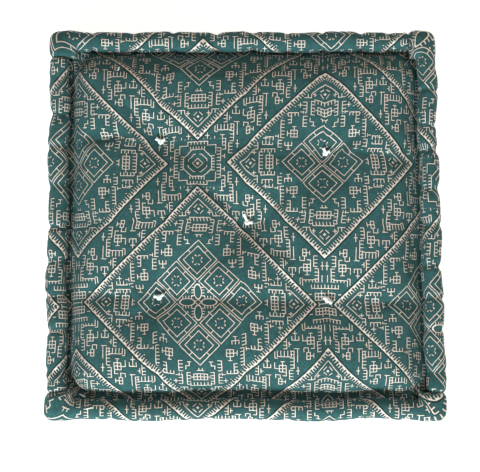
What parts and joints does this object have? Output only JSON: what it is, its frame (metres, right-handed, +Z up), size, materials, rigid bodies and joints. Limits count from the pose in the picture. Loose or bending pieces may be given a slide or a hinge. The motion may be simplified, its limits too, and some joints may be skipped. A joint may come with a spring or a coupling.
{
  "type": "floor cushion",
  "caption": "Square stuffed floor cushion with hand-rolled edges, a boxed side and tufts pulled in by knotted cords.",
  "frame": {"origin": "bottom centre: the floor under the middle of the cushion", "axes": "+Z up from the floor, +Y to the back edge, +X to the right edge"},
  "size_m": [0.6, 0.59, 0.1105],
  "materials": {
    "printed_cloth": "satin",
    "cotton_cord": "matte",
    "wadding": "matte"
  },
  "bodies": {
    "root": {"top_panel": "printed_cloth", "bottom_panel": "printed_cloth", "side_panel_right": "printed_cloth", "side_panel_back": "printed_cloth", "side_panel_left": "printed_cloth", "side_panel_front": "printed_cloth", "top_edge_roll_right": "printed_cloth", "bottom_edge_roll_right": "printed_cloth", "top_edge_roll_back": "printed_cloth", "bottom_edge_roll_back": "printed_cloth", "top_edge_roll_left": "printed_cloth", "bottom_edge_roll_left": "printed_cloth", "top_edge_roll_front": "printed_cloth", "bottom_edge_roll_front": "printed_cloth", "top_edge_thread_right": "cotton_cord", "bottom_edge_thread_right": "cotton_cord", "top_edge_thread_back": "cotton_cord", "bottom_edge_thread_back": "cotton_cord", "top_edge_thread_left": "cotton_cord", "bottom_edge_thread_left": "cotton_cord", "top_edge_thread_front": "cotton_cord", "bottom_edge_thread_front": "cotton_cord", "wadding_bottom": "wadding", "wadding_middle": "wadding", "wadding_top": "wadding", "top_knot_back_left": "cotton_cord", "bottom_knot_back_left": "cotton_cord", "tuft_cord_back_left": "cotton_cord", "top_knot_back_right": "cotton_cord", "bottom_knot_back_right": "cotton_cord", "tuft_cord_back_right": "cotton_cord", "top_knot_middle": "cotton_cord", "bottom_knot_middle": "cotton_cord", "tuft_cord_middle": "cotton_cord", "top_knot_front_left": "cotton_cord", "bottom_knot_front_left": "cotton_cord", "tuft_cord_front_left": "cotton_cord", "top_knot_front_right": "cotton_cord", "bottom_knot_front_right": "cotton_cord", "tuft_cord_front_right": "cotton_cord"}
  },
  "joints": []
}
